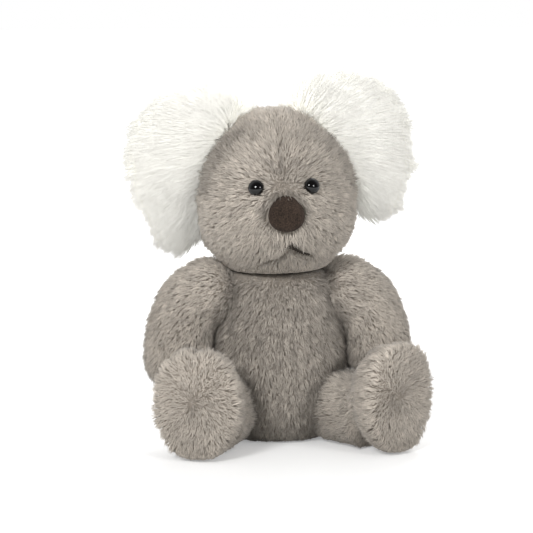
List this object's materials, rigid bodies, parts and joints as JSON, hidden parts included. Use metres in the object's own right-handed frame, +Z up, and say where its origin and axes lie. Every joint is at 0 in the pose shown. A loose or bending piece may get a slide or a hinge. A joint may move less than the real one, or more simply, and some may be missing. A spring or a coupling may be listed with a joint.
{
  "type": "plush koala",
  "caption": "Sitting plush koala with fluffy white ears, suede nose, bead eyes, sewn arms and legs, and a head that turns.",
  "frame": {"origin": "on the ground, under the middle of the whole toy's box", "axes": "+Z up; the koala looks along -Y, and its own left side is +X"},
  "size_m": [0.1918, 0.1336, 0.2358],
  "materials": {
    "grey_plush": "warm grey short-pile plush",
    "white_pile": "long soft white pile",
    "suede": "dark brown suede cloth",
    "eye_gloss": "polished black",
    "thread": "dark sewing thread",
    "fibre": "white fibre filling",
    "bag_cloth": "plain woven cotton",
    "washer_plastic": "moulded white"
  },
  "bodies": {
    "torso": {"belly_panel": "grey_plush", "back_panel": "grey_plush", "body_stuffing": "fibre", "seat_bean_bag": "bag_cloth"},
    "head": {"face_panel": "grey_plush", "head_back_panel": "grey_plush", "head_stuffing": "fibre", "nose": "suede", "mouth_stitch": "thread", "right_eye": "eye_gloss", "right_eye_washer": "washer_plastic", "left_eye": "eye_gloss", "left_eye_washer": "washer_plastic"},
    "right_ear": {"right_ear_front": "white_pile", "right_ear_back": "white_pile"},
    "left_ear": {"left_ear_front": "white_pile", "left_ear_back": "white_pile"},
    "right_arm": {"right_arm_front_panel": "grey_plush", "right_arm_back_panel": "grey_plush", "right_arm_stuffing": "fibre"},
    "left_arm": {"left_arm_front_panel": "grey_plush", "left_arm_back_panel": "grey_plush", "left_arm_stuffing": "fibre"},
    "right_leg": {"right_leg_outer_panel": "grey_plush", "right_leg_inner_panel": "grey_plush", "right_sole_panel": "grey_plush", "right_leg_stuffing": "fibre"},
    "left_leg": {"left_leg_outer_panel": "grey_plush", "left_leg_inner_panel": "grey_plush", "left_sole_panel": "grey_plush", "left_leg_stuffing": "fibre"}
  },
  "joints": [
    {"name": "head_turn", "type": "hinge", "parent": "torso", "child": "head", "pos_m": [0.00192, 0.01876, 0.11092], "axis": [-0.0262, 0, 0.9997], "range_deg": [-15, 15], "stiffness_Nm_per_rad": 0.05},
    {"name": "right_ear_fold", "type": "hinge", "parent": "head", "child": "right_ear", "pos_m": [-0.03438, 0.02676, 0.18638], "axis": [0.354, 0, 0.9352], "range_deg": [-25, 20], "stiffness_Nm_per_rad": 0.02},
    {"name": "left_ear_fold", "type": "hinge", "parent": "head", "child": "left_ear", "pos_m": [0.03378, 0.02676, 0.18808], "axis": [0.584, 0, -0.8118], "range_deg": [-25, 20], "stiffness_Nm_per_rad": 0.02},
    {"name": "right_arm_raise", "type": "hinge", "parent": "torso", "child": "right_arm", "pos_m": [-0.03683, 0.02076, 0.097], "axis": [0, 1, 0], "range_deg": [0, 60]},
    {"name": "left_arm_raise", "type": "hinge", "parent": "torso", "child": "left_arm", "pos_m": [0.04067, 0.02076, 0.097], "axis": [0, -1, 0], "range_deg": [0, 60]},
    {"name": "right_leg_swing", "type": "hinge", "parent": "torso", "child": "right_leg", "pos_m": [-0.03508, -0.00124, 0.0265], "axis": [0.9272, -0.3746, 0], "range_deg": [0, 60]},
    {"name": "left_leg_swing", "type": "hinge", "parent": "torso", "child": "left_leg", "pos_m": [0.03892, -0.00124, 0.0265], "axis": [0.8746, 0.4848, 0], "range_deg": [0, 60]}
  ]
}
